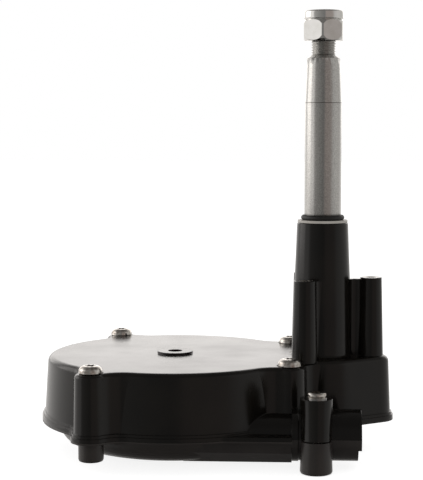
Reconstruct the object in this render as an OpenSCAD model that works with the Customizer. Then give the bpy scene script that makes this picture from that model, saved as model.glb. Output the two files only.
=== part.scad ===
// Mechanical cable steering helm for a boat, lying on its back.
// The wheel's shaft drives a pinion, the pinion turns a geared drum, and the drum winds the cable.
// The origin is on the shaft's axis, in the plane of the three mounting faces, and +Z runs out
// along the shaft towards the wheel. The drum is on the -X side and the cable tube on the -Y side.

/* [Gears] */
// Module of the gear teeth
gear_module = 2; // [1.9:0.05:2.1]
// Teeth on the shaft's pinion
pinion_teeth = 17; // [16:1:19]
// Teeth on the cable drum
drum_teeth = 60; // [56:1:64]
// Face width of the drum's gear
gear_w = 12; // [10:0.5:13]
// How far each tooth flank stays back at the pitch circle
flank_gap = 0.06; // [0.04:0.01:0.1]
// Free play along an axis where a part turns
end_play = 0.1; // [0.05:0.05:0.3]
// Radial clearance of a turning part in its bush
run_gap = 0.05; // [0.02:0.01:0.08]

/* [Case] */
// Space between the gears' tips and the case's inner wall
tip_space = 1.4; // [0.8:0.1:2]
// Side wall at the top of the case
side_wall = 3.1; // [2:0.1:4]
// Top wall of the case
top_wall = 4; // [3:0.5:5]
// Height of the case from the seam to its top face
case_h = 32.9; // [31:0.1:36]
// How far the drum case's wall leans out on its way down
drum_draft = 1.8; // [0.5:0.1:2.5]
// How far the pinion case's wall leans out on its way down
pinion_draft = 1.2; // [0.5:0.1:1.5]
// Rounding of the case's top edge
case_round = 3.2; // [1:0.1:3.8]
// How far the flange stands out of the wall
flange_out = 1.4; // [1:0.1:3]
// Thickness of the housing's flange
flange_t = 2; // [1.6:0.1:3]
// How far the step over the flange stands out of the wall
step_out = 0.7; // [0.3:0.1:0.9]
// Height of that step over the flange
step_h = 1.4; // [0.5:0.1:2]
// Radius of the raised ring over the drum's axle
ring_r = 9.35; // [8:0.05:12]
// Height of the raised ring over the drum's axle
ring_h = 1.1; // [0.6:0.1:3]

/* [Cover] */
// Thickness of the back cover's rim
cover_t = 0.9; // [0.6:0.1:2]
// Depth of the cover's dish below the seam
dish_h = 12.9; // [12.5:0.1:14]
// Wall of the dish
dish_wall = 3; // [2:0.1:3.5]
// Space between the cable guide's wall and the dish's inner wall
dish_gap = 2.8; // [0.5:0.1:4]
// Width of the dish's curved edge
dish_curve = 11.5; // [10:0.5:14]

/* [Tower] */
// Height from the case's top face to the mounting faces
mount_h = 40.6; // [30:0.1:50]
// Height of the tower above the mounting faces
tower_h = 28.6; // [20:0.1:40]
// Radius of the tower's top
tower_top_r = 13.2; // [12.6:0.1:15]
// Radius of the tower at the mounting faces
tower_mid_r = 14.4; // [13.9:0.1:16]
// Radius of the tower's foot
tower_foot_r = 15.3; // [14.6:0.1:17]
// X of the mounting boss beside the shaft
mount_x = 25.3; // [24:0.1:26]
// X of the two mounting bosses on the drum's side
mount_pair_x = -9.2; // [-11:0.1:-8]
// Half the spacing of those two bosses
mount_pair_y = 20.9; // [19:0.1:22]
// Radius of a mounting face
mount_face_r = 5.6; // [5:0.05:6]
// Radius of a mounting boss's foot
mount_foot_r = 6.6; // [6:0.1:7]
// Radius of the case's nose beside the shaft
nose_r = 9.4; // [8:0.1:10]
// Radius of the hole in a threaded insert
insert_hole_r = 2.5; // [2:0.1:2.6]
// Outer radius of a threaded insert
insert_r = 3.85; // [3.6:0.05:4.2]
// Length of a threaded insert
insert_len = 12; // [8:0.5:16]
// Radius of the hollow flanks between bosses and tower
web_round = 4; // [3.4:0.1:6]

/* [Shaft] */
// Diameter of the steering shaft
shaft_d = 19.05; // [18.5:0.05:19.5]
// Distance from the mounting faces to the taper's small end
shaft_reach = 114.5; // [105:0.5:125]
// Length of the wheel's taper
taper_len = 24.2; // [20:0.1:30]
// Length over which the taper's diameter loses one part
taper_ratio = 12; // [10:1:16]
// Height of the bevel at the taper's small end
taper_bevel = 1.4; // [0.5:0.1:2]
// Diameter of the shaft's thread
thread_d = 12.7; // [12:0.1:13.5]
// Length of the thread that shows under the nut
thread_show = 7.4; // [2:0.1:12]
// Width of the nut across its flats
nut_af = 19.8; // [18:0.05:22]
// Height of the nut's hexagon
nut_hex_h = 10.8; // [8:0.1:12]
// How far the nut is turned from having a corner in front
nut_turn = -4; // [-30:1:30]
// Height of the nut's round collar
nut_collar_h = 4.8; // [3:0.1:6]
// Wall of the shaft's bushes
bush_wall = 1.5; // [1:0.1:1.6]
// Length of the bush in the tower
upper_bush_len = 24; // [15:1:30]
// Length of the bush in the cover
lower_bush_len = 7.5; // [5:0.5:8]
// Height of the rubber seal on the tower
seal_h = 2.4; // [2:0.1:4]
// Wall of the rubber seal
seal_wall = 1.7; // [1.2:0.05:2.5]

/* [Cable] */
// Radius at which the cable's centre lies on the drum
cable_path_r = 45.6; // [44:0.1:46]
// Diameter of the cable
cable_d = 7.4; // [6:0.1:7.6]
// Outer diameter of the cable tube at its socket
tube_d = 25.4; // [24:0.1:26]
// Outer diameter of the tube between the case and its collar
lead_d = 20.8; // [19:0.1:24]
// How much farther the flange stands out along the tube
rail_out = 4.2; // [1:0.1:5]
// Radius of the socket for the cable's end fitting
socket_r = 7; // [6.5:0.1:7.5]
// X of the tube's open end
tube_end_x = 18.5; // [16:0.1:20]
// X of the tube's collar
collar_x = -14; // [-16:0.1:-11]
// X at which the socket begins inside the tube
socket_x = -11.5; // [-12:0.1:-8]
// Axle of the drum, diameter
axle_d = 16; // [14:0.5:18]
// Hole through the drum's axle, diameter
axle_hole_d = 7.5; // [6:0.1:8]

/* [Fasteners] */
// X of the two screws on the shaft's side
near_screw_x = -16.8; // [-18:0.1:-15]
// Distance of the two far screws from the drum case's wall
screw_out = 6.5; // [6:0.1:7]
// Angle of the two far screws
far_screw_angle = 119.5; // [115:0.5:130]
// Radius of a screw column's top
column_r = 7.9; // [7.5:0.1:8.5]
// How far a screw column's top lies under the case's top face
column_drop = 0.5; // [0:0.1:1]
// Rounding of a screw column's top edge
column_round = 1.9; // [0.5:0.1:2]
// Diameter of the screws
screw_d = 5; // [4:0.1:5.5]
// Diameter of the cover screws' heads
head_d = 11.8; // [9:0.1:12]
// Diameter of the clamp screw's head
clamp_head_d = 9.4; // [9:0.1:10.4]
// Height of the cover screws' heads
head_h = 4; // [3:0.1:4.4]
// Height of the clamp screw's head
clamp_head_h = 2.5; // [2.4:0.1:4]
// Width of the screws' nuts across their flats
small_nut_af = 8; // [7.5:0.1:8.5]
// Height of the screws' nuts
small_nut_h = 4.7; // [4:0.1:5]
// Length of the cover's screw posts below the seam
post_len = 10.5; // [9:0.1:12]
// Radius of the cover's screw posts
post_r = 6.2; // [6:0.05:7]
// X of the clamp screw
clamp_x = -3.7; // [-5:0.1:-2]
// Distance of the clamp screw from the tube's axis
clamp_off = 14.4; // [13:0.1:15]
// Height of the clamp post above the seam
clamp_up = 20.9; // [18:0.1:24]
// Length of the clamp post below the seam
clamp_down = 15.9; // [14:0.1:17]

/* [Hidden] */

$fn = 64;
eps = 0.01;
housing_black = "#1d1c1b";
steel = "#b9bbbd";
plated = "#c9c4ba";
nylon = "#e6e1d3";
rubber = "#141414";

// Gears
pressure_angle = 20;
drum_pitch_r = gear_module * drum_teeth / 2;
pinion_pitch_r = gear_module * pinion_teeth / 2;
drum_x = -(drum_pitch_r + pinion_pitch_r);
drum_cavity_r = drum_pitch_r + gear_module + tip_space;
pinion_cavity_r = pinion_pitch_r + gear_module + tip_space;
face_inset = 1;
pinion_w = gear_w + 2 * face_inset;

// Levels of the case
case_top_z = -mount_h;
ceiling_z = case_top_z - top_wall;
seam_z = case_top_z - case_h;
flange_top_z = seam_z + flange_t;
wall_low_z = seam_z + flange_t / 2;
rim_z = seam_z - cover_t;
dish_bottom_z = seam_z - dish_h;
dish_floor_z = dish_bottom_z + dish_wall;

// Outlines of the case
drum_case_r = drum_cavity_r + side_wall;
pinion_case_r = pinion_cavity_r + side_wall;
column_draft = 0.6;
screw_circle_r = drum_case_r + screw_out;
valley_r = 14;
pinion_valley_r = 9;
column_top_z = case_top_z - column_drop;
spot_gap = 0.4;
blend_cut = 0.02;
wall_lap = 0.4;
mount_places = [[mount_x, 0], [mount_pair_x, mount_pair_y], [mount_pair_x, -mount_pair_y]];

// Drum
washer_t = 1;
gear_top_z = ceiling_z - washer_t - end_play;
drum_gear_z = gear_top_z - face_inset - gear_w;
groove_r = cable_d / 2 + 0.3;
rim_lip = 2.5;
drum_rim_r = cable_path_r + cable_d / 2 + 0.2;
drum_bottom_z = seam_z - groove_r - rim_lip;
axle_boss_z = dish_floor_z + 1.4;
spring_h = 3;
spring_t = 0.8;
spring_waves = 3;
spring_seat_gap = 0.02;
hub_bottom_z = axle_boss_z + spring_h + washer_t + end_play;
hub_r = 15;
drum_web_r = cable_path_r - groove_r - 3.5;
drum_web_t = 5;
axle_top_z = ceiling_z + top_wall / 2;
axle_bottom_z = dish_floor_z - dish_wall / 3;
drum_bush_r = axle_d / 2 + run_gap + 2;
stop_angle = 117;
stop_len = 12;
stop_depth = 6;
stop_hole_r = 2;

// Cable guide and its wall in the cover
guide_gap = 1;
guide_t = 2.5;
guide_r = cable_path_r + cable_d / 2 + guide_gap;
guide_wall_r = guide_r + guide_t + 2.8;
dish_in_r = guide_wall_r + dish_gap;
dish_r = dish_in_r + dish_wall;
dish_flat_r = dish_r - dish_curve;
dish_in_flat_r = dish_flat_r - dish_wall;
guide_wall_top_z = drum_gear_z - 3.5;
guide_h = 14;
exit_from = -96;
exit_to = -34;
guide_end = 4;

// Shaft
shaft_r = shaft_d / 2;
taper_small_r = shaft_r - taper_len / taper_ratio / 2;
taper_step = 0.2;
taper_z = shaft_reach - taper_len;
nut_z = shaft_reach + thread_show;
nut_top_z = nut_z + nut_hex_h + nut_collar_h;
thread_end_z = nut_top_z - 1.2;
thread_play = 0.03;
insert_ring_r = nut_af / 2 - 2;
insert_ring_h = nut_collar_h - 1.4;
insert_ring_z = nut_top_z - 0.8 - insert_ring_h;
pinion_bottom_z = gear_top_z - pinion_w;
circlip_t = 1.3;
circlip_depth = 0.8;
circlip_out = 2.4;
boss_floor_z = seam_z + 0.6;
shaft_bottom_z = boss_floor_z + 0.5;
bush_in_r = shaft_r + run_gap;
bush_out_r = bush_in_r + bush_wall;
lower_bush_r = bush_in_r + 2.4;
lower_bush_top_z = boss_floor_z + lower_bush_len;
pinion_boss_r = lower_bush_r + 2.5;
bush_seat_z = tower_h - upper_bush_len;
bush_rim_t = 1.2;
bush_rim_r = tower_top_r - 0.3;
seal_lift = 0.1;
tower_bore_r = shaft_r + 0.6;
key_w = 4.76;
key_r = 8;
key_z = taper_z + taper_len / 2;
key_out = 2.2;
pinion_key_w = 5;
pinion_key_len = 10;

// Cable tube and clamp
tube_r = tube_d / 2;
tube_y = -cable_path_r;
passage_r = cable_d / 2 + 0.5;
clamp_y = tube_y - clamp_off;
clamp_top_z = seam_z + clamp_up;
clamp_bottom_z = seam_z - clamp_down;
clamp_top_r = 7.95;
clamp_waist_r = 7.4;
clamp_foot_r = 7.95;
collar_w = 3.2;
collar_out = 0.4;
crease_drop = 6.8;
keel_half = 5.5;
clamp_washer_t = 0.5;
head_side_h = 1;
head_crown_r = 3;
clamp_side_h = 1.5;
clamp_crown_r = 3.4;
clamp_washer_r = 5;
clamp_gap = 0.6;
tube_step = 1.6;
tube_step_drop = 5.5;

// Screws
hole_gap = 0.25;
screw_hole_r = screw_d / 2 + hole_gap;
screw_wall = 0.6;
near_screw_y = cable_path_r - passage_r - screw_hole_r - screw_wall;
far_screw = [drum_x + screw_circle_r * cos(far_screw_angle),
             screw_circle_r * sin(far_screw_angle)];
screw_places = [[near_screw_x, near_screw_y], far_screw, [far_screw[0], -far_screw[1]],
                [near_screw_x, -near_screw_y]];
nut_gap = 0.1;
nut_sink = 0.2;
post_bottom_z = seam_z - post_len;
cover_nut_z = post_bottom_z + nut_sink;
cover_screw_end_z = cover_nut_z + 0.8;
clamp_nut_z = clamp_bottom_z + nut_sink;
clamp_screw_end_z = clamp_nut_z + 0.8;

// Housing seal
seal_groove_in = 0.8;
seal_groove_w = 1.6;
seal_groove_h = 1.6;

// Pockets of the threaded inserts
drill_tip_h = insert_r * tan(31);
web_drop = 0.8;

function involute(a) = tan(a) * 180 / PI - a;
function base_r(teeth) = gear_module * teeth / 2 * cos(pressure_angle);
function root_r(teeth) = gear_module * (teeth / 2 - 1.25);
function tip_r(teeth) = gear_module * (teeth / 2 + 1);
// Half of a tooth's angle at radius r
function half_tooth(teeth, r) =
    90 / teeth - flank_gap / (gear_module * teeth / 2) * 180 / PI + involute(pressure_angle)
    - (r > base_r(teeth) ? involute(acos(base_r(teeth) / r)) : 0);
function flank_radii(teeth) =
    let (low = max(base_r(teeth), root_r(teeth)), step = (tip_r(teeth) - low) / 4)
    concat(low > root_r(teeth) ? [root_r(teeth)] : [], [for (i = [0:4]) low + i * step]);
function tooth_points(teeth, centre) =
    let (radii = flank_radii(teeth), n = len(radii))
    concat([for (r = radii) [r, centre - half_tooth(teeth, r)]],
           [for (i = [1:n]) [radii[n - i], centre + half_tooth(teeth, radii[n - i])]]);

// Gear outline with one tooth centred at the angle phase
module gear_outline(teeth, phase) {
    polygon([for (k = [0:teeth - 1])
             for (p = tooth_points(teeth, phase + 360 * k / teeth))
             [p[0] * cos(p[1]), p[0] * sin(p[1])]]);
}

// Half section of a wall: radius r at the top, leaning out by lean, with a rounded top edge
function wall_section(r, lean, round_r, low, high) =
    concat([[0, low], [r + lean, low]],
           [for (i = [0:6]) let (a = 15 * i)
            [r - round_r + round_r * cos(a), high - round_r + round_r * sin(a)]],
           [[0, high]]);

module turned_wall(r, lean, round_r, low, high) {
    rotate_extrude($fn = 96) polygon(wall_section(r, lean, round_r, low, high));
}

// Two turned walls round points a distance apart along X, with the straight walls between them
module joined_walls(r, far_r, distance, lean, round_r, low, high) {
    side = acos((r - far_r) / distance);
    turned_wall(r, lean, round_r, low, high);
    translate([distance, 0, 0]) turned_wall(far_r, lean, round_r, low, high);
    for (flip = [0, 1])
        mirror([0, flip, 0]) rotate([0, 0, side]) translate([0, wall_lap, 0]) rotate([90, 0, 0])
            linear_extrude(distance * sin(side) + 2 * wall_lap)
                polygon(wall_section(r - blend_cut, lean, round_r, low, high - blend_cut));
}

// Centre of the circle of radius f that touches two circles from outside
function meeting_point(centre, r, place, place_r, f, flip) =
    let (d = norm(place - centre), base = atan2(place[1] - centre[1], place[0] - centre[0]),
         turn = acos((pow(r + f, 2) + d * d - pow(place_r + f, 2)) / (2 * (r + f) * d)))
    centre + (r + f) * [cos(base + flip * turn), sin(base + flip * turn)];

// Fills the corner between two circles with a concave round of radius f
module corner_fill(centre, r, place, place_r, f, flip) {
    meet = meeting_point(centre, r, place, place_r, f, flip);
    difference() {
        polygon([centre, place, meet]);
        translate(meet) circle(f + blend_cut);
    }
}

// The same as a solid that leans out like the case's walls and has their rounded top edge
module rounded_corner_fill(centre, r, place, place_r, f, flip, low, high, round_r) {
    meet = meeting_point(centre, r, place, place_r, f, flip);
    difference() {
        translate([0, 0, low]) linear_extrude(high - low) polygon([centre, place, meet]);
        translate(meet) rotate_extrude($fn = 64)
            polygon(concat([[0, low - 1], [f - column_draft, low - 1], [f - column_draft, low]],
                           [for (i = [0:6]) let (a = 15 * i)
                            [f + blend_cut + round_r * (1 - cos(a)),
                             high - round_r + round_r * sin(a)]],
                           [[f + blend_cut + round_r, high + 1], [0, high + 1]]));
    }
}

// Outline of the case's wall at its foot, grown by out
module case_outline(out) {
    r = drum_case_r + drum_draft + out;
    near_r = pinion_case_r + pinion_draft + out;
    far_r = nose_r + pinion_draft + out;
    side = acos((near_r - far_r) / mount_x);
    translate([drum_x, 0]) circle(r, $fn = 96);
    circle(near_r);
    translate([mount_x, 0]) circle(far_r);
    near = (near_r - blend_cut) * [cos(side), sin(side)];
    far = [mount_x, 0] + (far_r - blend_cut) * [cos(side), sin(side)];
    polygon([[near[0], -near[1]], [far[0], -far[1]], far, near]);
    for (place = screw_places) {
        translate(place) circle(column_r + column_draft + out);
        for (flip = [-1, 1])
            corner_fill([drum_x, 0], r, place, column_r + column_draft + out, valley_r, flip);
        if (place[0] == near_screw_x) {
            corner_fill([0, 0], near_r, place, column_r + column_draft + out, pinion_valley_r,
                        -sign(place[1]));
            polygon([[drum_x, 0], place, [0, 0]]);
        }
    }
}

// Outline of the flange: the case's outline and a straight rail along the cable tube
module flange_outline() {
    width = tube_r + rail_out + flange_out;
    case_outline(flange_out);
    translate([drum_x, tube_y - width]) square([collar_x - collar_w / 2 - drum_x, width]);
}

module screw_columns() {
    for (place = screw_places) {
        translate([place[0], place[1], 0])
            turned_wall(column_r, column_draft, column_round, wall_low_z, column_top_z);
        for (flip = [-1, 1])
            rounded_corner_fill([drum_x, 0], drum_case_r, place, column_r, valley_r, flip,
                                wall_low_z, case_top_z, case_round);
        if (place[0] == near_screw_x) {
            rounded_corner_fill([0, 0], pinion_case_r, place, column_r, pinion_valley_r,
                                -sign(place[1]), wall_low_z, case_top_z, case_round);
            translate([0, 0, wall_low_z]) linear_extrude(case_top_z - wall_low_z)
                polygon([[drum_x, 0], place, [0, 0]]);
        }
    }
}

module tower() {
    foot_z = case_top_z - 1;
    fillet = 2.5;
    rotate_extrude($fn = 96)
        polygon(concat([[0, foot_z], [tower_foot_r + fillet, foot_z]],
                       [for (i = [0:5]) let (a = 18 * i)
                        [tower_foot_r + fillet * (1 - sin(a)), case_top_z + fillet * (1 - cos(a))]],
                       [[tower_mid_r, 0], [tower_top_r, tower_h - 0.5],
                        [tower_top_r - 0.5, tower_h], [0, tower_h]]));
}

module mount_bosses() {
    for (place = mount_places) {
        translate([place[0], place[1], case_top_z - 1])
            cylinder(h = mount_h + 1, r1 = mount_foot_r, r2 = mount_face_r);
        for (flip = [-1, 1])
            translate([0, 0, case_top_z - 1]) linear_extrude(mount_h + 1 - web_drop)
                corner_fill([0, 0], tower_mid_r, place, mount_face_r, web_round, flip);
    }
}

// Half of the cable tube: up is 1 for the housing's half and -1 for the cover's
module half_tube(up) {
    lead_x = drum_x / 2 - 6;
    reach = tube_d;
    intersection() {
        union() {
            translate([collar_x, tube_y, seam_z]) rotate([0, 90, 0])
                cylinder(h = tube_end_x - collar_x, r = tube_r);
            translate([collar_x - collar_w / 2, tube_y, seam_z]) rotate([0, 90, 0])
                cylinder(h = collar_w, r = tube_r + collar_out);
            if (up > 0) translate([lead_x, tube_y, seam_z]) rotate([0, 90, 0])
                cylinder(h = collar_x - lead_x, r = lead_d / 2);
        }
        translate([lead_x, tube_y - reach, up > 0 ? seam_z : seam_z - reach])
            cube([tube_end_x - lead_x, 2 * reach, reach]);
        if (up < 0) translate([lead_x, tube_y - reach, seam_z - reach]) union() {
            cube([tube_end_x - tube_step - lead_x, 2 * reach, reach]);
            translate([0, 0, reach - tube_step_drop])
                cube([tube_end_x - lead_x, 2 * reach, tube_step_drop]);
        }
    }
}

// Everything that the cable and its end fitting need along the tube
module cable_way() {
    translate([drum_x / 2 - 7, tube_y, seam_z]) rotate([0, 90, 0])
        cylinder(h = socket_x - drum_x / 2 + 8, r = passage_r);
    translate([socket_x, tube_y, seam_z]) rotate([0, 90, 0])
        cylinder(h = tube_end_x - socket_x + 1, r = socket_r);
    translate([tube_end_x - 1, tube_y, seam_z]) rotate([0, 90, 0])
        cylinder(h = 1 + eps, r1 = socket_r, r2 = socket_r + 1);
}

module seal_ring() {
    difference() {
        seal_outline(seal_groove_in + seal_groove_w);
        seal_outline(seal_groove_in);
        translate([drum_x / 2 - 7, tube_y - passage_r - 1.5])
            square([collar_x - drum_x / 2 + 8, 2 * passage_r + 3]);
    }
}

module seal_outline(out) {
    translate([drum_x, 0]) circle(drum_cavity_r + out, $fn = 96);
    circle(pinion_cavity_r + out);
}

// Drilled pocket of a threaded insert, with the drill's pointed end
module insert_pocket() {
    rotate_extrude()
        polygon([[0, -insert_len - drill_tip_h], [insert_r, -insert_len], [insert_r, 1], [0, 1]]);
}

module front_housing() {
    color(housing_black) difference() {
        union() {
            translate([drum_x, 0, 0])
                turned_wall(drum_case_r, drum_draft, case_round, wall_low_z, case_top_z);
            joined_walls(pinion_case_r, nose_r, mount_x, pinion_draft, case_round, wall_low_z,
                         case_top_z);
            screw_columns();
            translate([0, 0, seam_z]) linear_extrude(flange_t) flange_outline();
            translate([0, 0, wall_low_z]) linear_extrude(flange_top_z + step_h - wall_low_z)
                case_outline(step_out);
            translate([drum_x, 0, case_top_z - 1]) cylinder(h = ring_h + 1, r = ring_r);
            tower();
            mount_bosses();
            half_tube(1);
            translate([clamp_x, clamp_y, seam_z + clamp_gap])
                cylinder(h = clamp_up - clamp_gap, r1 = clamp_waist_r, r2 = clamp_top_r);
        }
        translate([drum_x, 0, seam_z - 1])
            cylinder(h = ceiling_z - seam_z + 1, r = drum_cavity_r, $fn = 96);
        translate([0, 0, seam_z - 1]) cylinder(h = ceiling_z - seam_z + 1, r = pinion_cavity_r);
        translate([drum_x, 0, ceiling_z - 1])
            cylinder(h = axle_top_z - ceiling_z + 1, r = axle_d / 2);
        translate([drum_x, 0, ceiling_z]) cylinder(h = top_wall + ring_h + 1, d = axle_hole_d);
        translate([0, 0, ceiling_z - 1]) cylinder(h = tower_h - ceiling_z, r = tower_bore_r);
        translate([0, 0, bush_seat_z]) cylinder(h = upper_bush_len + 1, r = bush_out_r);
        for (place = mount_places) translate([place[0], place[1], 0]) insert_pocket();
        for (place = screw_places) translate([place[0], place[1], 0]) {
            translate([0, 0, seam_z - 1]) cylinder(h = case_h + 2, r = screw_hole_r);
            translate([0, 0, column_top_z])
                cylinder(h = head_h, r = head_d / 2 + spot_gap);
        }
        translate([clamp_x, clamp_y, seam_z - 1]) cylinder(h = clamp_up + 2, r = screw_hole_r);
        translate([0, 0, seam_z - eps]) linear_extrude(seal_groove_h + eps) seal_ring();
        cable_way();
    }
}

function dish_section(r, flat_r, low) =
    concat([[0, seam_z]],
           [for (i = [0:10]) let (a = 9 * i)
            [flat_r + (r - flat_r) * cos(a), seam_z - (seam_z - low) * sin(a)]],
           [[0, low]]);

// Wall in the cover that carries the cable guide, open where the cable leaves
module guide_ring(r_in, r_out, low, high, margin) {
    far = 100;
    difference() {
        translate([drum_x, 0, low]) difference() {
            cylinder(h = high - low, r = r_out, $fn = 96);
            translate([0, 0, -1]) cylinder(h = high - low + 2, r = r_in, $fn = 96);
        }
        translate([drum_x, 0, low - 1]) linear_extrude(high - low + 2)
            polygon([[0, 0],
                     [far * cos(exit_from - margin), far * sin(exit_from - margin)],
                     [far * cos((exit_from + exit_to) / 2), far * sin((exit_from + exit_to) / 2)],
                     [far * cos(exit_to + margin), far * sin(exit_to + margin)]]);
    }
}

// Foot of the tube between the dish and the collar, with flat sides, a crease and a flat keel
module tube_keel() {
    translate([drum_x + 8, tube_y, 0]) rotate([90, 0, 90])
        linear_extrude(collar_x - collar_w / 2 - drum_x - 8)
            polygon([[-tube_r, seam_z], [-tube_r, seam_z - crease_drop], [-keel_half, dish_bottom_z],
                     [keel_half, dish_bottom_z], [tube_r, seam_z - crease_drop],
                     [tube_r, seam_z]]);
}

module round_post(r_top, r_foot, top, foot) {
    round_r = 1.2;
    rotate_extrude() polygon([[0, foot], [r_foot - round_r, foot],
                              [r_foot - round_r * 0.3, foot + round_r * 0.3],
                              [r_foot, foot + round_r], [r_top, top], [0, top]]);
}

module nut_shape(af, height) {
    cylinder(h = height, r = af / 2 / cos(30), $fn = 6);
}

module back_cover() {
    color(housing_black) difference() {
        union() {
            translate([0, 0, rim_z]) linear_extrude(cover_t) flange_outline();
            translate([drum_x, 0, 0]) rotate_extrude($fn = 96)
                polygon(dish_section(dish_r, dish_flat_r, dish_bottom_z));
            tube_keel();
            half_tube(-1);
            for (place = screw_places)
                translate([place[0], place[1], 0])
                    round_post(post_r, post_r, seam_z - eps, post_bottom_z);
            translate([clamp_x, clamp_y, 0])
                round_post(clamp_waist_r, clamp_foot_r, seam_z, clamp_bottom_z);
            translate([0, 0, rim_z]) cylinder(h = lower_bush_top_z - rim_z, r = pinion_boss_r);
            guide_ring(guide_r + guide_t, guide_wall_r, seam_z - 1, guide_wall_top_z, 0);
        }
        difference() {
            translate([drum_x, 0, 0]) rotate_extrude($fn = 96)
                polygon(dish_section(dish_in_r, dish_in_flat_r, dish_floor_z));
            translate([drum_x, 0, dish_floor_z - 1]) cylinder(h = axle_boss_z - dish_floor_z + 1, r = 12);
            guide_ring(guide_r + guide_t, guide_wall_r, dish_floor_z, guide_wall_top_z, 0);
        }
        translate([drum_x, 0, axle_bottom_z]) cylinder(h = 10, r = axle_d / 2);
        translate([0, 0, boss_floor_z]) cylinder(h = lower_bush_len + 1, r = lower_bush_r);
        for (place = screw_places)
            translate([place[0], place[1], 0]) {
                translate([0, 0, post_bottom_z - 1]) cylinder(h = post_len + 2, r = screw_hole_r);
                translate([0, 0, dish_bottom_z - 1])
                    nut_shape(small_nut_af + 2 * nut_gap,
                              post_bottom_z - dish_bottom_z + small_nut_h + nut_sink + 1);
            }
        translate([clamp_x, clamp_y, clamp_bottom_z - 1]) {
            cylinder(h = clamp_down + 2, r = screw_hole_r);
            nut_shape(small_nut_af + 2 * nut_gap, small_nut_h + nut_sink + 1);
        }
        cable_way();
    }
}

module housing_seal() {
    color(rubber) translate([0, 0, seam_z]) linear_extrude(seal_groove_h) seal_ring();
}

module cable_drum() {
    color("#4a4c4e") difference() {
        union() {
            translate([drum_x, 0, drum_gear_z])
                linear_extrude(gear_w) gear_outline(drum_teeth, 180 / drum_teeth);
            translate([drum_x, 0, drum_bottom_z])
                cylinder(h = drum_gear_z - drum_bottom_z + 1, r = drum_rim_r, $fn = 96);
            translate([drum_x, 0, hub_bottom_z]) cylinder(h = gear_top_z - hub_bottom_z, r = hub_r);
        }
        translate([drum_x, 0, seam_z]) rotate_extrude($fn = 96) {
            translate([cable_path_r, 0]) circle(groove_r, $fn = 32);
            translate([cable_path_r, -groove_r])
                square([drum_rim_r - cable_path_r + 1, 2 * groove_r]);
        }
        drum_recess(drum_bottom_z - 1, drum_gear_z + gear_w / 2 - drum_web_t / 2, drum_web_r);
        drum_recess(drum_gear_z + gear_w / 2 + drum_web_t / 2, gear_top_z + 1,
                    root_r(drum_teeth) - 6);
        translate([drum_x, 0, hub_bottom_z - 1])
            cylinder(h = gear_top_z - hub_bottom_z + 2, r = drum_bush_r);
        translate([drum_x, 0, drum_bottom_z - 1])
            cylinder(h = hub_bottom_z - drum_bottom_z + 1, r = hub_r + 1);
        stop_block();
    }
}

// Ring cut out between the drum's hub and its rim
module drum_recess(low, high, r) {
    translate([drum_x, 0, low]) difference() {
        cylinder(h = high - low, r = r, $fn = 96);
        translate([0, 0, -1]) cylinder(h = high - low + 2, r = hub_r);
    }
}

module stop_block() {
    translate([drum_x, 0, seam_z - groove_r]) rotate([0, 0, stop_angle])
        translate([cable_path_r - stop_depth, -stop_len / 2, 0])
            cube([stop_depth + cable_d / 2 - 0.5, stop_len, 2 * groove_r]);
}

module cable_stop() {
    color(steel) difference() {
        stop_block();
        translate([drum_x, 0, seam_z]) rotate([0, 0, stop_angle])
            translate([cable_path_r, 0, 0]) rotate([90, 0, 0])
                cylinder(h = stop_len + 2, r = stop_hole_r, center = true);
    }
}

module ring(r_in, r_out, low, high) {
    translate([0, 0, low]) difference() {
        cylinder(h = high - low, r = r_out);
        translate([0, 0, -1]) cylinder(h = high - low + 2, r = r_in);
    }
}

module drum_bush() {
    color(nylon) translate([drum_x, 0, 0])
        ring(axle_d / 2 + run_gap, drum_bush_r, hub_bottom_z + 0.5, gear_top_z - 0.5);
}

module drum_axle() {
    color(steel) translate([drum_x, 0, 0])
        ring(axle_hole_d / 2, axle_d / 2, axle_bottom_z, axle_top_z);
}

module drum_washer() {
    color(nylon) translate([drum_x, 0, 0])
        ring(axle_d / 2 + 0.1, hub_r - 0.5, ceiling_z - washer_t, ceiling_z);
}

module spring_washer() {
    color(steel) translate([drum_x, 0, 0])
        ring(axle_d / 2 + 0.1, hub_r - 3, hub_bottom_z - end_play - washer_t,
             hub_bottom_z - end_play);
}

// Wave spring: a flat ring whose height follows a sine round its circle
module wave_spring() {
    n = 72;
    r_in = axle_d / 2 + 0.4;
    r_out = 11.5;
    swing = (spring_h - spring_t) / 2 - spring_seat_gap;
    mid = axle_boss_z + spring_h / 2;
    function wave(i) = mid + swing * sin(spring_waves * 360 * i / n);
    function corner(i, r, side) = [r * cos(360 * i / n), r * sin(360 * i / n),
                                   wave(i) + side * spring_t / 2];
    points = [for (i = [0:n - 1]) for (c = [[r_in, -1], [r_out, -1], [r_out, 1], [r_in, 1]])
              corner(i, c[0], c[1])];
    faces = [for (i = [0:n - 1]) for (j = [0:3])
             let (a = 4 * i + j, b = 4 * i + (j + 1) % 4, c = (4 * i + 4 + (j + 1) % 4) % (4 * n),
                  d = (4 * i + 4 + j) % (4 * n)) each [[a, c, b], [a, d, c]]];
    color(steel) translate([drum_x, 0, 0]) polyhedron(points, faces);
}

module cable_guide() {
    color(nylon)
        guide_ring(guide_r, guide_r + guide_t, guide_wall_top_z - guide_h, guide_wall_top_z - 0.5,
                   guide_end);
}

module woodruff_key() {
    translate([0, shaft_r + key_out - key_r, key_z]) rotate([0, 90, 0])
        cylinder(h = key_w, r = key_r, center = true);
}

module shaft_key_seat() {
    translate([-pinion_key_w / 2, shaft_r - pinion_key_w / 2,
               gear_top_z - pinion_w / 2 - pinion_key_len / 2])
        cube([pinion_key_w, pinion_key_w, pinion_key_len]);
}

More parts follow.
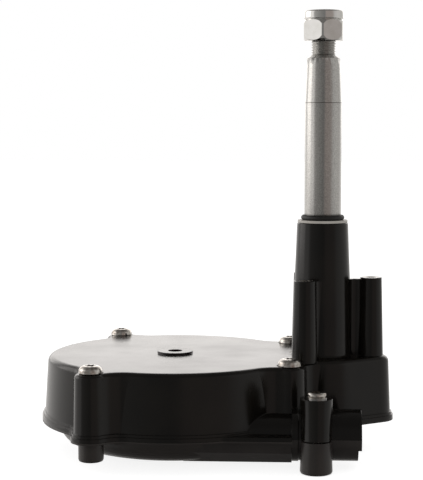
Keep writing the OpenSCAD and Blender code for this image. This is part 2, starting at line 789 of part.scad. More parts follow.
module steering_shaft() {
    chamfer = 0.6;
    color(steel) difference() {
        rotate_extrude($fn = 96)
            polygon([[0, shaft_bottom_z], [shaft_r - chamfer, shaft_bottom_z],
                     [shaft_r, shaft_bottom_z + chamfer], [shaft_r, pinion_bottom_z - circlip_t],
                     [shaft_r - circlip_depth, pinion_bottom_z - circlip_t],
                     [shaft_r - circlip_depth, pinion_bottom_z], [shaft_r, pinion_bottom_z],
                     [shaft_r, taper_z], [taper_small_r, shaft_reach - taper_bevel],
                     [thread_d / 2 + taper_step, shaft_reach], [thread_d / 2, shaft_reach],
                     [thread_d / 2, thread_end_z - chamfer],
                     [thread_d / 2 - chamfer, thread_end_z], [0, thread_end_z]]);
        woodruff_key();
        shaft_key_seat();
    }
}

module wheel_key() {
    color(steel) intersection() {
        woodruff_key();
        translate([-key_w, 0, key_z - 7]) cube([2 * key_w, shaft_r + key_out - 0.6, 14]);
    }
}

module pinion() {
    color(steel) difference() {
        translate([0, 0, pinion_bottom_z])
            linear_extrude(pinion_w) gear_outline(pinion_teeth, 180);
        translate([0, 0, pinion_bottom_z - 1]) cylinder(h = pinion_w + 2, r = shaft_r);
        translate([-pinion_key_w / 2, 0, pinion_bottom_z - 1])
            cube([pinion_key_w, shaft_r + pinion_key_w / 2, pinion_w + 2]);
    }
}

module pinion_key() {
    color(steel) shaft_key_seat();
}

module shaft_circlip() {
    low = pinion_bottom_z - circlip_t;
    color("#3c3c3e") difference() {
        ring(shaft_r - circlip_depth, shaft_r + circlip_out, low, pinion_bottom_z);
        translate([-2.5, 0, low - 1]) cube([5, shaft_d, circlip_t + 2]);
        for (side = [-1, 1])
            translate([side * 4.2, 0, low - 1]) rotate([0, 0, side * 4])
                translate([0, shaft_r + 0.4, 0]) cylinder(h = circlip_t + 2, r = 0.6);
    }
}

module upper_bush() {
    color(nylon) rotate_extrude()
        polygon([[bush_in_r, bush_seat_z], [bush_out_r, bush_seat_z], [bush_out_r, tower_h],
                 [bush_rim_r, tower_h], [bush_rim_r, tower_h + bush_rim_t],
                 [bush_in_r, tower_h + bush_rim_t]]);
}

module lower_bush() {
    color(nylon) ring(bush_in_r, lower_bush_r, boss_floor_z, lower_bush_top_z);
}

module shaft_washer() {
    color(nylon) ring(shaft_r + 0.1, root_r(pinion_teeth), ceiling_z - washer_t, ceiling_z);
}

module shaft_seal() {
    low = tower_h + bush_rim_t + seal_lift;
    rim_r = 0.45 * seal_h;
    rim_x = shaft_r + seal_wall - rim_r;
    color(rubber) rotate_extrude()
        polygon(concat([[shaft_r, low]],
                       [for (i = [0:6]) let (a = 15 * i - 90)
                        [rim_x + rim_r * cos(a), low + rim_r + rim_r * sin(a)]],
                       [for (i = [0:6]) let (a = 15 * i)
                        [rim_x + rim_r * cos(a), low + seal_h - rim_r + rim_r * sin(a)]],
                       [[shaft_r, low + seal_h]]));
}

module wheel_nut() {
    flat_r = nut_af / 2;
    collar_r = flat_r - 0.4;
    corner_r = flat_r / cos(30) - 0.3;
    nut_bevel = 2.4;
    hex_top_z = nut_z + nut_hex_h;
    color(plated) difference() {
        union() {
            intersection() {
                translate([0, 0, nut_z]) rotate([0, 0, 30 + nut_turn])
                    nut_shape(nut_af, nut_hex_h);
                rotate_extrude($fn = 96)
                    polygon([[0, nut_z], [flat_r - 0.2, nut_z],
                             [(flat_r + corner_r) / 2, nut_z + nut_bevel * 0.4],
                             [corner_r, nut_z + nut_bevel], [corner_r, hex_top_z - nut_bevel],
                             [(flat_r + corner_r) / 2, hex_top_z - nut_bevel * 0.4],
                             [flat_r - 0.2, hex_top_z], [0, hex_top_z]]);
            }
            rotate_extrude($fn = 96)
                polygon([[0, hex_top_z - 1], [collar_r, hex_top_z - 1],
                         [collar_r, nut_top_z - 1.5], [collar_r - 0.6, nut_top_z - 0.4],
                         [collar_r - 1.6, nut_top_z], [0, nut_top_z]]);
        }
        translate([0, 0, nut_z - 1]) cylinder(h = nut_hex_h + 3, r = thread_d / 2 + thread_play);
        translate([0, 0, insert_ring_z]) cylinder(h = insert_ring_h, r = insert_ring_r);
        translate([0, 0, nut_top_z - 2]) cylinder(h = 3, r = thread_d / 2 + 0.5);
    }
}

module nut_insert() {
    color("#d8d4c6")
        ring(thread_d / 2 + thread_play, insert_ring_r, insert_ring_z,
             insert_ring_z + insert_ring_h);
}

module mount_inserts() {
    color("#a9a7a2") for (place = mount_places)
        translate([place[0], place[1], 0]) ring(insert_hole_r, insert_r, -insert_len, 0);
}

// Domed screw with a six-lobed recess. Its head stands on the level top, is upright up to side_h
// and then curves in to a flat of the radius crown_r.
module domed_screw(top, end, head_d, head_h, side_h, crown_r) {
    recess = 1.6;
    recess_r = 1.8;
    lobe_r = 0.7;
    rim_r = head_d / 2;
    difference() {
        union() {
            translate([0, 0, end]) cylinder(h = top - end + 1, d = screw_d);
            rotate_extrude()
                polygon(concat([[0, top], [rim_r - 0.5, top], [rim_r, top + side_h * 0.6]],
                               [for (i = [0:5]) let (a = 18 * i)
                                [crown_r + (rim_r - crown_r) * cos(a),
                                 top + side_h + (head_h - side_h) * sin(a)]],
                               [[0, top + head_h]]));
        }
        translate([0, 0, top + head_h - recess]) {
            cylinder(h = recess + 1, r = recess_r);
            for (i = [0:5])
                rotate([0, 0, 60 * i]) translate([recess_r + 0.2, 0, 0])
                    cylinder(h = recess + 1, r = lobe_r, $fn = 24);
        }
    }
}

module hex_nut(low) {
    difference() {
        translate([0, 0, low]) nut_shape(small_nut_af, small_nut_h);
        translate([0, 0, low - 1]) cylinder(h = small_nut_h + 2, r = screw_d / 2 + thread_play);
    }
}

module cover_screws() {
    color(plated) for (place = screw_places)
        translate([place[0], place[1], 0])
            domed_screw(column_top_z, cover_screw_end_z, head_d, head_h, head_side_h,
                        head_crown_r);
}

module cover_nuts() {
    color(plated) for (place = screw_places)
        translate([place[0], place[1], 0]) hex_nut(cover_nut_z);
}

module clamp_screw() {
    color(plated) translate([clamp_x, clamp_y, 0])
        domed_screw(clamp_top_z + clamp_washer_t, clamp_screw_end_z, clamp_head_d, clamp_head_h,
                    clamp_side_h, clamp_crown_r);
}

module clamp_washer() {
    color(plated) translate([clamp_x, clamp_y, 0])
        ring(screw_d / 2 + hole_gap, clamp_washer_r, clamp_top_z, clamp_top_z + clamp_washer_t);
}

module clamp_nut() {
    color(plated) translate([clamp_x, clamp_y, 0]) hex_nut(clamp_nut_z);
}

front_housing();
back_cover();
housing_seal();
cable_drum();
cable_stop();
drum_bush();
drum_axle();
drum_washer();
spring_washer();
wave_spring();
cable_guide();
steering_shaft();
pinion();
pinion_key();
shaft_circlip();
upper_bush();
lower_bush();
shaft_washer();
shaft_seal();
wheel_key();
wheel_nut();
nut_insert();
mount_inserts();
cover_screws();
cover_nuts();
clamp_screw();
clamp_washer();
clamp_nut();
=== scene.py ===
"""Looks of the boat steering helm: finishes, thread, seal, nut collar, stage, light and camera.

Lengths are in metres, in the frame of the CAD model: the shaft's axis is Z, and Z is 0 at the three
mounting faces.
"""
import math

import bpy
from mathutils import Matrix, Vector


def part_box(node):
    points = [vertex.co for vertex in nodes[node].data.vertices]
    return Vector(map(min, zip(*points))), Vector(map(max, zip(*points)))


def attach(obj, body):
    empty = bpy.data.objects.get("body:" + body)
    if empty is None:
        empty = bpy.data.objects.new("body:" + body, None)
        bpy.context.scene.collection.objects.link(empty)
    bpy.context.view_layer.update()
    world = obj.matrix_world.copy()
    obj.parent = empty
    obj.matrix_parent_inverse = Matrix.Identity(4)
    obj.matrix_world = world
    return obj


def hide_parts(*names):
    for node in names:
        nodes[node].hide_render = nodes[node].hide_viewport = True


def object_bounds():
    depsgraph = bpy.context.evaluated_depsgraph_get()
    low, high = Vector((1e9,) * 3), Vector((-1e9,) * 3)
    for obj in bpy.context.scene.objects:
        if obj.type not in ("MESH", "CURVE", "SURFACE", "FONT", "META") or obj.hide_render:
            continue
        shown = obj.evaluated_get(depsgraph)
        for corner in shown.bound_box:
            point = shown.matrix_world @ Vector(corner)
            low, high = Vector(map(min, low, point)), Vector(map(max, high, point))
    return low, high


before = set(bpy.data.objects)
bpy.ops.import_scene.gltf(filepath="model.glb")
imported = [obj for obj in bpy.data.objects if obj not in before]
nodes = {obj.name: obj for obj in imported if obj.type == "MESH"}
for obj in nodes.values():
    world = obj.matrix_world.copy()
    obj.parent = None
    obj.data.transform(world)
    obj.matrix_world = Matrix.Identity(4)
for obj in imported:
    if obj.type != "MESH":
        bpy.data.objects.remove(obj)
cad_box = [list(corner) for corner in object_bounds()]
MM = 0.001


# ---------------------------------------------------------------- finishes

# sockets of the colour mix node
MIX_A = 6
MIX_B = 7
MIX_OUT = 2
# how far the edges of the castings look rounded off
CAST_ROUND = 0.6 * MM
# where the shaft's taper starts, and the width of the painted shade line in its groove there
TAPER_Z = 90.3 * MM
TAPER_SHADE_WIDTH = 0.35 * MM


def colour(code):
    """Linear RGBA of an sRGB hex colour."""
    parts = [int(code[i:i + 2], 16) / 255 for i in (1, 3, 5)]
    linear = [c / 12.92 if c <= 0.04045 else ((c + 0.055) / 1.055) ** 2.4 for c in parts]
    return (*linear, 1.0)


def set_sockets(tree, node, sockets):
    """Gives each socket its value, or a link from another node's output."""
    for key, value in sockets.items():
        if isinstance(value, bpy.types.NodeSocket):
            tree.links.new(value, node.inputs[key])
        else:
            node.inputs[key].default_value = value


def add_node(tree, kind, sockets=None, stops=(), **settings):
    """Adds one node with its settings and links; a colour ramp has (position, hex colour) stops."""
    node = tree.nodes.new(kind)
    for key, value in settings.items():
        setattr(node, key, value)
    set_sockets(tree, node, sockets or {})
    while stops and len(node.color_ramp.elements) < len(stops):
        node.color_ramp.elements.new(0.5)
    for index, (position, code) in enumerate(stops):
        node.color_ramp.elements[index].position = position
        node.color_ramp.elements[index].color = colour(code)
    return node


def new_finish(name, **values):
    """A material with its node tree, its shader and the object's own coordinates."""
    material = bpy.data.materials.new(name)
    material.use_nodes = True
    tree = material.node_tree
    shader = tree.nodes["Principled BSDF"]
    for key, value in values.items():
        shader.inputs[key.replace("_", " ")].default_value = value
    place = add_node(tree, "ShaderNodeTexCoord").outputs["Object"]
    return material, tree, shader, place


def enamel_on_casting():
    """Black gloss enamel over die-cast aluminium: nearly black, with a shallow orange peel."""
    material, tree, shader, place = new_finish("black_enamel_on_cast_aluminium", Roughness=0.2,
                                               IOR=1.36)
    # orange peel is about 2 mm from hump to hump
    peel = add_node(tree, "ShaderNodeTexNoise", {"Vector": place, "Scale": 1 / (2 * MM),
                                                 "Detail": 2.0})
    # the coat gathers and thins over some 25 mm, and its tone and gloss follow
    cloud = add_node(tree, "ShaderNodeTexNoise", {"Vector": place, "Scale": 1 / (25 * MM),
                                                  "Detail": 3.0})
    tint = add_node(tree, "ShaderNodeValToRGB", {"Fac": cloud.outputs["Fac"]},
                    stops=[(0.35, "#110f0d"), (0.65, "#191612")])
    gloss = add_node(tree, "ShaderNodeMapRange", {"Value": cloud.outputs["Fac"], "From Min": 0.3,
                                                  "From Max": 0.7, "To Min": 0.15, "To Max": 0.22})
    # edges catch the light, because the mould and the coat round them off
    edge = add_node(tree, "ShaderNodeBevel", {"Radius": CAST_ROUND}, samples=6)
    bump = add_node(tree, "ShaderNodeBump", {"Height": peel.outputs["Fac"], "Strength": 0.2,
                                             "Distance": 0.012 * MM,
                                             "Normal": edge.outputs["Normal"]})
    set_sockets(tree, shader, {"Base Color": tint.outputs["Color"],
                               "Roughness": gloss.outputs["Result"],
                               "Normal": bump.outputs["Normal"]})
    return material


def enamel_on_cover_painted_reflection():
    """The same black on the rougher back cover, thinner and less glossy; its lighter, warmer colour
    is painted reflection of the bright floor that it faces.
    """
    material, tree, shader, place = new_finish("black_enamel_cover_painted_reflection", Roughness=0.34,
                                               IOR=1.4)
    # the sand-like skin under the coat is about 1.2 mm from grain to grain
    grain = add_node(tree, "ShaderNodeTexNoise", {"Vector": place, "Scale": 1 / (1.2 * MM),
                                                  "Detail": 4.0})
    cloud = add_node(tree, "ShaderNodeTexNoise", {"Vector": place, "Scale": 1 / (18 * MM),
                                                  "Detail": 3.0})
    # painted reflection: this tint is lighter and warmer than the case's, for the bright floor that
    # the cover mirrors
    tint = add_node(tree, "ShaderNodeValToRGB", {"Fac": cloud.outputs["Fac"]},
                    stops=[(0.35, "#2e2a28"), (0.65, "#383431")])
    edge = add_node(tree, "ShaderNodeBevel", {"Radius": CAST_ROUND}, samples=6)
    bump = add_node(tree, "ShaderNodeBump", {"Height": grain.outputs["Fac"], "Strength": 0.35,
                                             "Distance": 0.03 * MM,
                                             "Normal": edge.outputs["Normal"]})
    set_sockets(tree, shader, {"Base Color": tint.outputs["Color"],
                               "Normal": bump.outputs["Normal"]})
    return material


def turned_steel():
    """Stainless steel, turned on a lathe: its rings smear a reflection along the axis only."""
    material, tree, shader, place = new_finish("turned_stainless_steel", Metallic=1.0,
                                               Roughness=0.31, Anisotropic=0.9,
                                               Anisotropic_Rotation=0.25)
    tangent = add_node(tree, "ShaderNodeTangent", direction_type="RADIAL", axis="Z")
    # the skin is pitted every 0.6 mm or so
    pits = add_node(tree, "ShaderNodeTexNoise", {"Vector": place, "Scale": 1 / (0.6 * MM),
                                                 "Detail": 3.0})
    tint = add_node(tree, "ShaderNodeValToRGB", {"Fac": pits.outputs["Fac"]},
                    stops=[(0.3, "#a9a8a5"), (0.7, "#cdccc9")])
    # painted shade: a dark line for the shade in the fine groove that the tool left where the taper
    # starts
    height = add_node(tree, "ShaderNodeSeparateXYZ", {"Vector": place}).outputs["Z"]
    groove_shade = add_node(tree, "ShaderNodeMath", {0: height, 1: TAPER_Z, 2: TAPER_SHADE_WIDTH / 2},
                    operation="COMPARE")
    tint_with_groove_shade = add_node(tree, "ShaderNodeMix", {"Factor": groove_shade.outputs[0],
                                             MIX_A: tint.outputs["Color"],
                                             MIX_B: colour("#6f6c69")}, data_type="RGBA")
    # the tool's rings lie 0.1 mm apart and are drawn 0.5 mm apart, so that they just show
    rings = add_node(tree, "ShaderNodeMapping", {"Vector": place,
                                                 "Scale": (15.0, 15.0, 1 / (0.5 * MM))})
    lines = add_node(tree, "ShaderNodeTexNoise", {"Vector": rings.outputs["Vector"], "Scale": 1.0,
                                                  "Detail": 2.0})
    bump = add_node(tree, "ShaderNodeBump", {"Height": lines.outputs["Fac"], "Strength": 0.12,
                                             "Distance": 0.003 * MM})
    set_sockets(tree, shader, {"Tangent": tangent.outputs["Tangent"],
                               "Base Color": tint_with_groove_shade.outputs[MIX_OUT],
                               "Normal": bump.outputs["Normal"]})
    return material


def grained_finish(name, low, high, roughness, grain_mm, depth_mm, **values):
    """A metal, plastic or rubber whose tone and surface vary with its grain."""
    material, tree, shader, place = new_finish(name, Roughness=roughness, **values)
    grain = add_node(tree, "ShaderNodeTexNoise", {"Vector": place, "Scale": 1 / (grain_mm * MM),
                                                  "Detail": 3.0})
    tint = add_node(tree, "ShaderNodeValToRGB", {"Fac": grain.outputs["Fac"]},
                    stops=[(0.3, low), (0.7, high)])
    bump = add_node(tree, "ShaderNodeBump", {"Height": grain.outputs["Fac"], "Strength": 0.3,
                                             "Distance": depth_mm * MM})
    set_sockets(tree, shader, {"Base Color": tint.outputs["Color"],
                               "Normal": bump.outputs["Normal"]})
    return material


enamel = enamel_on_casting()
cover_enamel_painted_reflection = enamel_on_cover_painted_reflection()
shaft_steel = turned_steel()
# bright zinc plate: a clean mirror, slightly warm
plate = grained_finish("bright_zinc_plated_steel", "#d3d2ce", "#dedddb", 0.13, 4.0, 0.002,
                       Metallic=1.0)
# the screws' plate is coloured darker and browner, in blotches: painted reflection and shade, for
# the dark reflections and recesses of the heads
screw_plate_painted_reflection = grained_finish("zinc_plated_steel_painted_reflection", "#8f877f", "#dad7d2", 0.2, 1.6, 0.03,
                             Metallic=1.0)
# ground steel of the gears, axle and keys: an even grey with a soft sheen
gear_steel = grained_finish("ground_carbon_steel", "#8b8b8c", "#a6a6a7", 0.32, 0.8, 0.006,
                            Metallic=1.0)
# spring steel is blued by its heat treatment, so it is dark and cold
spring_steel = grained_finish("blued_spring_steel", "#3a3d42", "#50535a", 0.36, 0.8, 0.005,
                              Metallic=1.0)
# as-cast aluminium has a dull, fine-grained skin
cast_alloy = grained_finish("as_cast_aluminium", "#6d6e70", "#8a8b8d", 0.5, 0.7, 0.02,
                            Metallic=1.0)
# machined steel of the pressed-in inserts: pale rings that just catch the light
insert_steel = grained_finish("machined_insert_steel", "#8f8c86", "#b0ada7", 0.3, 0.6, 0.006,
                              Metallic=1.0)
# moulded nylon is milky and dull
nylon = grained_finish("moulded_natural_nylon", "#d8d2c9", "#e2ddd5", 0.45, 1.5, 0.01, IOR=1.53)
# moulded rubber is a flat black with hardly a highlight
rubber = grained_finish("moulded_nitrile_rubber", "#121212", "#1a1a1a", 0.55, 0.5, 0.015,
                        IOR=1.52)

FINISH_OF = {
    "front_housing": enamel, "back_cover": cover_enamel_painted_reflection, "housing_seal": rubber,
    "cable_drum": cast_alloy, "cable_stop": gear_steel, "drum_bush": nylon,
    "drum_axle": gear_steel, "drum_washer": nylon, "spring_washer": gear_steel,
    "wave_spring": spring_steel, "cable_guide": nylon, "steering_shaft": shaft_steel,
    "pinion": gear_steel, "pinion_key": gear_steel, "shaft_circlip": spring_steel,
    "upper_bush": nylon, "lower_bush": nylon, "shaft_washer": nylon, "shaft_seal": rubber,
    "wheel_key": gear_steel, "wheel_nut": plate, "nut_insert": nylon, "mount_inserts": insert_steel,
    "cover_screws": screw_plate_painted_reflection, "cover_nuts": plate, "clamp_screw": screw_plate_painted_reflection,
    "clamp_washer": plate, "clamp_nut": plate,
}
for name, material in FINISH_OF.items():
    mesh = nodes[name].data
    mesh.materials.clear()
    mesh.materials.append(material)


# ---------------------------------------------------------------- shaft's thread, seal and collar

# points closer than this are made one
MERGE = 0.001 * MM
# edges that turn less than this are shaded smooth
SMOOTH_ANGLE = math.radians(30)
# sides of what is round, and of a rounded edge
ROUND_SIDES = 96
EDGE_SIDES = 6
# the straight part's radius, and the height at which the thread comes out of the shoulder
SHAFT_R = 9.525 * MM
SHAFT_REACH = 114.5 * MM
# the shoulder is a cone from the taper up to the thread; the CAD shaft is cut just under it
SHOULDER_Z = 113.1 * MM
SHOULDER_TOP_R = 6.5 * MM
CUT_GAP = 0.01 * MM
RIM_BAND = 0.1 * MM
# half-inch thread, 20 to the inch
THREAD_R = 6.35 * MM
THREAD_ROOT_R = 5.6 * MM
THREAD_PITCH = 1.27 * MM
THREAD_STEPS = 32
CORE_SIDES = 64
# how far the core reaches into the shoulder, where the first turn starts, and the bare tip
CORE_SINK = 1 * MM
THREAD_SINK = 0.3 * MM
THREAD_TIP = 0.7 * MM
# this is more than half the seal's wall of 1.7 mm, so its outline crosses itself at both ends and
# most of its faces point inwards
SEAL_ROUND = 1.1 * MM
# the nut's collar, rolled over its nylon ring
COLLAR_Z = 132.75 * MM
COLLAR_INNER_R = 8.0 * MM
COLLAR_R = 10.4 * MM
COLLAR_ROUND = 1.2 * MM


def deselect_all():
    bpy.ops.object.select_all(action="DESELECT")


def make_active(piece):
    deselect_all()
    piece.select_set(True)
    bpy.context.view_layer.objects.active = piece


def settle(piece):
    """Puts the piece's place into its mesh."""
    make_active(piece)
    bpy.ops.object.transform_apply(location=True, rotation=True, scale=True)


def node_copy(node, name):
    """A copy of a CAD node's mesh as a piece of its own, with its triangles joined up."""
    piece = bpy.data.objects.new(name, nodes[node].data.copy())
    bpy.context.scene.collection.objects.link(piece)
    make_active(piece)
    bpy.ops.object.mode_set(mode="EDIT")
    bpy.ops.mesh.select_all(action="SELECT")
    bpy.ops.mesh.remove_doubles(threshold=MERGE)
    bpy.ops.object.mode_set(mode="OBJECT")
    return piece


def finish_piece(piece, material, body):
    """Smooths a finished piece, paints it and lets it ride on its body."""
    make_active(piece)
    bpy.ops.object.shade_smooth_by_angle(angle=SMOOTH_ANGLE)
    piece.data.materials.clear()
    piece.data.materials.append(material)
    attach(piece, body)


def threaded_stub():
    """The shaft's threaded end: a core with a vee-shaped thread wound round it."""
    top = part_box("steering_shaft")[1].z
    length = top - SHAFT_REACH
    core_length = length + CORE_SINK
    bpy.ops.mesh.primitive_cylinder_add(vertices=CORE_SIDES, radius=THREAD_ROOT_R,
                                        depth=core_length,
                                        location=(0, 0, top - core_length / 2))
    core = bpy.context.object
    settle(core)
    # a circle of four sides has the vee on its outside and most of its inner half in the core; it
    # is one pitch high, so each turn touches the next along an edge, just outside the core
    bpy.ops.mesh.primitive_circle_add(vertices=4, radius=THREAD_PITCH / 2,
                                      rotation=(math.radians(90), 0, 0),
                                      location=(0, 0, SHAFT_REACH - THREAD_SINK))
    thread = bpy.context.object
    settle(thread)
    bpy.ops.object.mode_set(mode="EDIT")
    bpy.ops.mesh.select_all(action="SELECT")
    bpy.ops.transform.translate(value=(THREAD_R - THREAD_PITCH / 2, 0, 0))
    bpy.ops.object.mode_set(mode="OBJECT")
    screw = thread.modifiers.new("winding", "SCREW")
    screw.axis = "Z"
    screw.screw_offset = THREAD_PITCH
    screw.iterations = int((length - THREAD_TIP) / THREAD_PITCH)
    screw.steps = THREAD_STEPS
    screw.render_steps = THREAD_STEPS
    bpy.ops.object.modifier_apply(modifier="winding")
    bpy.ops.object.mode_set(mode="EDIT")
    bpy.ops.mesh.select_all(action="SELECT")
    bpy.ops.mesh.remove_doubles(threshold=MERGE)
    # both open ends are closed
    bpy.ops.mesh.select_all(action="DESELECT")
    bpy.ops.mesh.select_non_manifold()
    bpy.ops.mesh.edge_face_add()
    bpy.ops.mesh.select_all(action="SELECT")
    bpy.ops.mesh.normals_make_consistent(inside=False)
    bpy.ops.object.mode_set(mode="OBJECT")
    return core, thread


def threaded_shaft():
    """The CAD shaft with a clean shoulder and a real thread in place of its plain end."""
    shaft = node_copy("steering_shaft", "shaft_with_thread")
    bpy.ops.object.mode_set(mode="EDIT")
    bpy.ops.mesh.select_all(action="SELECT")
    bpy.ops.mesh.bisect(plane_co=(0, 0, SHOULDER_Z - CUT_GAP), plane_no=(0, 0, 1), use_fill=True,
                        clear_outer=True)
    bpy.ops.object.mode_set(mode="OBJECT")
    rim = max(math.hypot(v.co.x, v.co.y) for v in shaft.data.vertices
              if v.co.z > SHOULDER_Z - RIM_BAND)
    height = SHAFT_REACH - SHOULDER_Z
    bpy.ops.mesh.primitive_cone_add(vertices=ROUND_SIDES, radius1=rim, radius2=SHOULDER_TOP_R,
                                    depth=height, location=(0, 0, SHOULDER_Z + height / 2))
    shoulder = bpy.context.object
    settle(shoulder)
    core, thread = threaded_stub()
    make_active(shaft)
    shoulder.select_set(True)
    core.select_set(True)
    thread.select_set(True)
    bpy.ops.object.join()
    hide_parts("steering_shaft")
    finish_piece(shaft, shaft_steel, "shaft")


def spun_ring(name, inner, outer, low_z, high_z, rounding):
    """A ring round the shaft's axis, its four edges rounded."""
    bpy.ops.mesh.primitive_plane_add(size=1, rotation=(math.radians(90), 0, 0),
                                     location=((inner + outer) / 2, 0, (low_z + high_z) / 2))
    ring = bpy.context.object
    ring.name = name
    ring.scale = (outer - inner, high_z - low_z, 1)
    settle(ring)
    bpy.ops.object.mode_set(mode="EDIT")
    bpy.ops.mesh.select_all(action="SELECT")
    bpy.ops.mesh.bevel(offset=rounding, segments=EDGE_SIDES, affect="VERTICES")
    # only the outline is spun
    bpy.ops.mesh.delete(type="ONLY_FACE")
    bpy.ops.mesh.select_all(action="SELECT")
    bpy.ops.mesh.spin(steps=ROUND_SIDES, angle=2 * math.pi, center=(0, 0, 0), axis=(0, 0, 1))
    bpy.ops.mesh.select_all(action="SELECT")
    bpy.ops.mesh.remove_doubles(threshold=MERGE)
    bpy.ops.mesh.normals_make_consistent(inside=False)
    bpy.ops.object.mode_set(mode="OBJECT")
    return ring


def lip_seal():
    """The rubber seal on the shaft, a ring with a round rim."""
    low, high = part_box("shaft_seal")
    seal = spun_ring("lip_seal", SHAFT_R, high.x, low.z, high.z, SEAL_ROUND)
    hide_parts("shaft_seal")
    finish_piece(seal, rubber, "shaft")


def rolled_collar():
    """The nut's collar, rolled over its nylon ring until it is nearly as wide as the hexagon."""
    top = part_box("wheel_nut")[1].z
    collar = spun_ring("rolled_nut_collar", COLLAR_INNER_R, COLLAR_R, COLLAR_Z, top, COLLAR_ROUND)
    finish_piece(collar, plate, "shaft")


deselect_all()
threaded_shaft()
lip_seal()
rolled_collar()


# ---------------------------------------------------------------- stage, light and camera

FLOOR_SIZE = 12
FLOOR_Z = cad_box[0][2] - 0.2 * MM
FLOOR_GLOW = 0.86
# the room as metal and enamel mirror it: degrees round from the front, right positive, and grey
ROOM_RING = [(-180, "#f3f0ed"), (-100, "#f3f0ed"), (-64, "#fbf9f7"), (-57, "#a9a7a5"),
             (-36, "#969593"), (-16, "#868583"), (0, "#797877"), (7, "#797877"), (11, "#9a918d"),
             (50, "#9f9793"), (64, "#bdbbb9"), (90, "#c8c6c3"), (120, "#c4c2bf"), (160, "#e8e5e2"),
             (180, "#f3f0ed")]
# the ring fades into this grey overhead and underfoot, between these steepnesses
ROOM_CEILING = "#6e6c6a"
CEILING_FROM = 0.5
CEILING_TO = 0.85
# level of what is mirrored, and of the soft light from all round
ROOM_MIRROR = 1.1
ROOM_LIGHT = 0.45
LAMP_TINT = (1.0, 0.96, 0.93)
# solved on the photograph: degrees down from level, and degrees turned to the left
CAMERA_PLACE = (-0.0165, -0.7419, 0.0785)
CAMERA_DIP = 4.58
CAMERA_TURN = 3.19
CAMERA_LENS = 106.95
CAMERA_SENSOR = 36


def ray_sum(tree, weights):
    """How strongly a surface glows, by the kind of ray that meets it."""
    path = add_node(tree, "ShaderNodeLightPath")
    total = 0.0
    for ray, weight in weights:
        total = add_node(tree, "ShaderNodeMath", {0: path.outputs[ray], 1: weight, 2: total},
                         operation="MULTIPLY_ADD").outputs[0]
    return total


def build_floor():
    """White paper: it glows for the camera, so that the ground is white, and keeps the shadow."""
    bpy.ops.mesh.primitive_plane_add(size=FLOOR_SIZE, location=(0, 0, FLOOR_Z))
    floor = bpy.context.object
    floor.name = "studio_floor"
    settle(floor)
    material = bpy.data.materials.new("white_paper_floor")
    material.use_nodes = True
    # its glow depends on the kind of ray, so it isn't sampled as a lamp
    material.cycles.emission_sampling = "NONE"
    tree = material.node_tree
    tree.nodes.remove(tree.nodes["Principled BSDF"])
    strength = ray_sum(tree, [("Is Camera Ray", FLOOR_GLOW), ("Is Transmission Ray", FLOOR_GLOW)])
    glow = add_node(tree, "ShaderNodeEmission", {"Strength": strength})
    paper = add_node(tree, "ShaderNodeBsdfDiffuse", {"Color": colour("#cbcbcb")})
    both = add_node(tree, "ShaderNodeAddShader", {0: paper.outputs[0], 1: glow.outputs[0]})
    # mirrored rays pass it and meet the room's greys
    glossy = add_node(tree, "ShaderNodeLightPath").outputs["Is Glossy Ray"]
    clear = add_node(tree, "ShaderNodeBsdfTransparent")
    mixed = add_node(tree, "ShaderNodeMixShader", {0: glossy, 1: both.outputs[0],
                                                   2: clear.outputs[0]})
    set_sockets(tree, tree.nodes["Material Output"], {"Surface": mixed.outputs[0]})
    floor.data.materials.append(material)


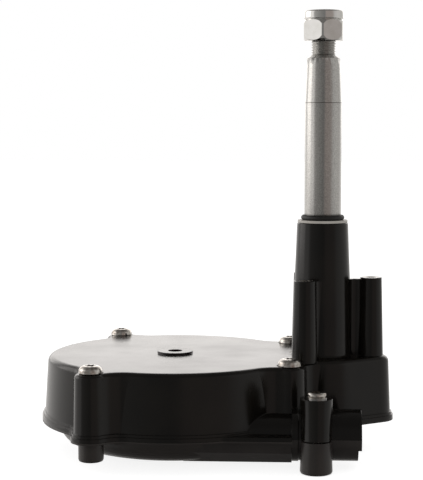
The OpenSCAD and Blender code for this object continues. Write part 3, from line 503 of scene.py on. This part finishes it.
def build_world():
    """The room as a ring of greys that metal and enamel mirror, and white for the camera."""
    world = bpy.data.worlds.new("studio")
    bpy.context.scene.world = world
    world.use_nodes = True
    # its level depends on the kind of ray, so it isn't sampled as a lamp
    world.cycles.sampling_method = "NONE"
    tree = world.node_tree
    # the ray's direction, turned into degrees round from the front
    direction = add_node(tree, "ShaderNodeTexCoord").outputs["Generated"]
    axes = add_node(tree, "ShaderNodeSeparateXYZ", {"Vector": direction})
    away = add_node(tree, "ShaderNodeMath", {0: axes.outputs["Y"], 1: -1.0}, operation="MULTIPLY")
    turn = add_node(tree, "ShaderNodeMath", {0: axes.outputs["X"], 1: away.outputs[0]},
                    operation="ARCTAN2")
    share = add_node(tree, "ShaderNodeMapRange", {"Value": turn.outputs[0], "From Min": -math.pi,
                                                  "From Max": math.pi})
    ring = add_node(tree, "ShaderNodeValToRGB", {"Fac": share.outputs["Result"]},
                    stops=[(0.5 + degrees / 360, code) for degrees, code in ROOM_RING])
    steep = add_node(tree, "ShaderNodeMath", {0: axes.outputs["Z"]}, operation="ABSOLUTE")
    ceiling = add_node(tree, "ShaderNodeMapRange",
                       {"Value": steep.outputs[0], "From Min": CEILING_FROM,
                        "From Max": CEILING_TO}, interpolation_type="SMOOTHSTEP")
    mirrored = add_node(tree, "ShaderNodeMix", {"Factor": ceiling.outputs["Result"],
                                                MIX_A: ring.outputs["Color"],
                                                MIX_B: colour(ROOM_CEILING)}, data_type="RGBA")
    # only mirrored rays meet the greys, and all others meet white
    glossy = add_node(tree, "ShaderNodeLightPath").outputs["Is Glossy Ray"]
    shown = add_node(tree, "ShaderNodeMix", {"Factor": glossy, MIX_A: (1, 1, 1, 1),
                                             MIX_B: mirrored.outputs[MIX_OUT]}, data_type="RGBA")
    strength = ray_sum(tree, [("Is Camera Ray", 1.0), ("Is Transmission Ray", 1.0),
                              ("Is Glossy Ray", ROOM_MIRROR), ("Is Diffuse Ray", ROOM_LIGHT)])
    set_sockets(tree, tree.nodes["Background"], {"Color": shown.outputs[MIX_OUT],
                                                 "Strength": strength})


def add_lamp(name, place, target, size, power, mirrored):
    """A rectangular soft lamp that faces its target; mirrored is how strongly gloss shows it."""
    data = bpy.data.lights.new(name, "AREA")
    data.shape = "RECTANGLE"
    data.size, data.size_y = size
    data.energy = power
    data.color = LAMP_TINT
    data.specular_factor = mirrored
    lamp = bpy.data.objects.new(name, data)
    bpy.context.scene.collection.objects.link(lamp)
    lamp.location = place
    lamp.rotation_euler = (Vector(target) - Vector(place)).to_track_quat("-Z", "Y").to_euler()
    lamp.visible_camera = False


def build_camera():
    data = bpy.data.cameras.new("camera")
    data.sensor_fit = "VERTICAL"
    data.sensor_height = CAMERA_SENSOR
    data.lens = CAMERA_LENS
    camera = bpy.data.objects.new("camera", data)
    bpy.context.scene.collection.objects.link(camera)
    camera.location = CAMERA_PLACE
    camera.rotation_euler = (math.radians(90 - CAMERA_DIP), 0, math.radians(CAMERA_TURN))
    bpy.context.scene.camera = camera


build_floor()
build_world()
# from behind and above, which brightens the case's top
add_lamp("back_softbox", place=(-0.05, 1.3, 0.34), target=(-0.05, 0, -0.04), size=(2.4, 0.6),
         power=4.4, mirrored=1.0)
# from the left, which lightens the drum case's left edge
add_lamp("left_softbox", place=(-1.2, 0.25, 0.35), target=(0, 0, 0), size=(0.8, 0.8),
         power=3, mirrored=0.2)
build_camera()
bpy.context.scene.view_settings.view_transform = "Standard"
